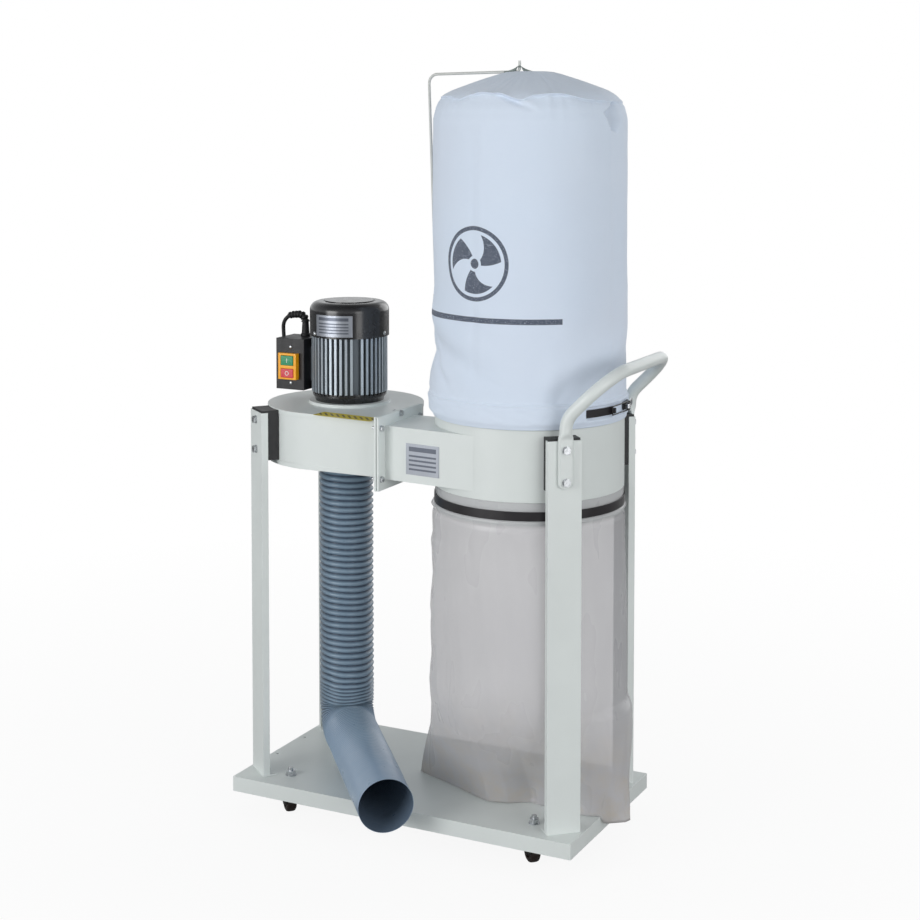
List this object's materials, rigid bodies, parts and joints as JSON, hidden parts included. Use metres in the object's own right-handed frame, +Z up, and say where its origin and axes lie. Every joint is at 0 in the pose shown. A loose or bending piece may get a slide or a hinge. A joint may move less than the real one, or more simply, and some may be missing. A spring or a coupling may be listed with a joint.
{
  "type": "dust collector",
  "caption": "Mobile single-bag dust collector: tray on casters, fan housing with motor, separator drum, cloth filter bag, film collection bag and suction hose.",
  "frame": {"origin": "on the floor, under the middle of the base tray", "axes": "+X towards the bags, +Y towards the back, +Z up"},
  "size_m": [0.8196, 0.5232, 1.5191],
  "materials": {
    "painted_steel": "satin",
    "black_spacer": "satin",
    "zinc_steel": "zinc plated",
    "black_steel": "satin",
    "caster_plastic": "satin",
    "motor_black": "gloss",
    "cast_aluminium": "as cast",
    "stator_iron": "varnished",
    "rotor_iron": "machined",
    "shaft_steel": "ground",
    "impeller_paint": "satin",
    "fan_plastic": "matt",
    "rubber": "matt",
    "gasket_grey": "matt",
    "switch_black": "fine grain",
    "yellow_plastic": "satin",
    "green_plastic": "satin",
    "red_plastic": "satin",
    "hose_plastic": "satin",
    "filter_cloth": "woven",
    "bag_film": "translucent film",
    "strap_black": "satin",
    "bright_steel": "polished",
    "plate_aluminium": "brushed",
    "rod_paint": "satin"
  },
  "bodies": {
    "machine": {"base_tray": "painted_steel", "leg_front_left": "painted_steel", "leg_front_right": "painted_steel", "leg_back_left": "painted_steel", "leg_back_right": "painted_steel", "leg_spacers": "black_spacer", "leg_bolts": "zinc_steel", "leg_nuts": "zinc_steel", "foot_bolts": "zinc_steel", "caster_stems": "zinc_steel", "push_handle": "painted_steel", "separator_drum": "painted_steel", "transfer_duct": "painted_steel", "duct_gasket": "gasket_grey", "duct_bolts": "zinc_steel", "fan_housing": "painted_steel", "housing_top": "painted_steel", "housing_bottom": "painted_steel", "hose_clamp": "zinc_steel", "hose_upper": "hose_plastic", "motor_body": "cast_aluminium", "motor_bell": "motor_black", "motor_cowl": "motor_black", "cowl_screws": "zinc_steel", "motor_bolts": "zinc_steel", "stator": "stator_iron", "motor_bearings": "shaft_steel", "switch_box": "switch_black", "switch_cover": "switch_black", "switch_bezel": "yellow_plastic", "switch_screws": "zinc_steel", "cable_boot": "rubber", "motor_lead": "rubber", "filter_bag": "filter_cloth", "upper_strap": "strap_black", "collection_bag": "bag_film", "lower_strap": "strap_black", "hanger_rod": "rod_paint", "name_plates": "plate_aluminium"},
    "rotor": {"rotor_core": "rotor_iron", "motor_shaft": "shaft_steel", "cooling_fan": "fan_plastic", "impeller": "impeller_paint", "impeller_bolt": "zinc_steel"},
    "hose_end": {"hose_lower": "hose_plastic", "hose_cuff": "hose_plastic"},
    "on_button": {"button_on": "green_plastic"},
    "off_button": {"button_off": "red_plastic"},
    "upper_latch": {"upper_lever": "bright_steel"},
    "upper_loop": {"upper_bail": "black_steel"},
    "lower_latch": {"lower_lever": "bright_steel"},
    "lower_loop": {"lower_bail": "black_steel"},
    "caster_front_left": {"fork_front_left": "black_steel"},
    "roller_front_left": {"wheel_front_left": "caster_plastic"},
    "caster_front_right": {"fork_front_right": "black_steel"},
    "roller_front_right": {"wheel_front_right": "caster_plastic"},
    "caster_back_left": {"fork_back_left": "black_steel"},
    "roller_back_left": {"wheel_back_left": "caster_plastic"},
    "caster_back_right": {"fork_back_right": "black_steel"},
    "roller_back_right": {"wheel_back_right": "caster_plastic"}
  },
  "joints": [
    {"name": "rotor_spin", "type": "hinge", "parent": "machine", "child": "rotor", "pos_m": [-0.209, 0, 0.9], "axis": [0, 0, 1], "continuous": true},
    {"name": "hose_swing", "type": "hinge", "parent": "machine", "child": "hose_end", "pos_m": [-0.2179, 0, 0.408], "axis": [0, 0, 1], "range_deg": [-50, 2]},
    {"name": "swivel_front_left", "type": "hinge", "parent": "machine", "child": "caster_front_left", "pos_m": [-0.27, -0.137, 0.053], "axis": [0, 0, 1], "continuous": true},
    {"name": "roll_front_left", "type": "hinge", "parent": "caster_front_left", "child": "roller_front_left", "pos_m": [-0.27719, -0.13005, 0.022], "axis": [0.6947, 0.7193, 0], "continuous": true},
    {"name": "swivel_front_right", "type": "hinge", "parent": "machine", "child": "caster_front_right", "pos_m": [0.27, -0.137, 0.053], "axis": [0, 0, 1], "continuous": true},
    {"name": "roll_front_right", "type": "hinge", "parent": "caster_front_right", "child": "roller_front_right", "pos_m": [0.26281, -0.13005, 0.022], "axis": [0.6947, 0.7193, 0], "continuous": true},
    {"name": "swivel_back_left", "type": "hinge", "parent": "machine", "child": "caster_back_left", "pos_m": [-0.27, 0.137, 0.053], "axis": [0, 0, 1], "continuous": true},
    {"name": "roll_back_left", "type": "hinge", "parent": "caster_back_left", "child": "roller_back_left", "pos_m": [-0.27719, 0.14395, 0.022], "axis": [0.6947, 0.7193, 0], "continuous": true},
    {"name": "swivel_back_right", "type": "hinge", "parent": "machine", "child": "caster_back_right", "pos_m": [0.27, 0.137, 0.053], "axis": [0, 0, 1], "continuous": true},
    {"name": "roll_back_right", "type": "hinge", "parent": "caster_back_right", "child": "roller_back_right", "pos_m": [0.26281, 0.14395, 0.022], "axis": [0.6947, 0.7193, 0], "continuous": true},
    {"name": "press_on", "type": "slide", "parent": "machine", "child": "on_button", "axis": [0, 1, 0], "range_m": [0, 0.003]},
    {"name": "press_off", "type": "slide", "parent": "machine", "child": "off_button", "axis": [0, 1, 0], "range_m": [0, 0.003]},
    {"name": "upper_lever_turn", "type": "hinge", "parent": "machine", "child": "upper_latch", "pos_m": [0.39341, 0.02078, 0.8595], "axis": [0, 0, -1], "range_deg": [0, 140]},
    {"name": "upper_bail_turn", "type": "hinge", "parent": "upper_latch", "child": "upper_loop", "pos_m": [0.39258, 0.02874, 0.8595], "axis": [0, 0, -1], "range_deg": [-140, 0]},
    {"name": "lower_lever_turn", "type": "hinge", "parent": "machine", "child": "lower_latch", "pos_m": [0.17871, 0.19426, 0.6715], "axis": [0, 0, -1], "range_deg": [0, 140]},
    {"name": "lower_bail_turn", "type": "hinge", "parent": "lower_latch", "child": "lower_loop", "pos_m": [0.17073, 0.19356, 0.6715], "axis": [0, 0, -1], "range_deg": [-140, 0]}
  ],
  "couplings": [
    {"joint": "upper_bail_turn", "follows": "upper_lever_turn", "ratio": -1},
    {"joint": "lower_bail_turn", "follows": "lower_lever_turn", "ratio": -1}
  ]
}
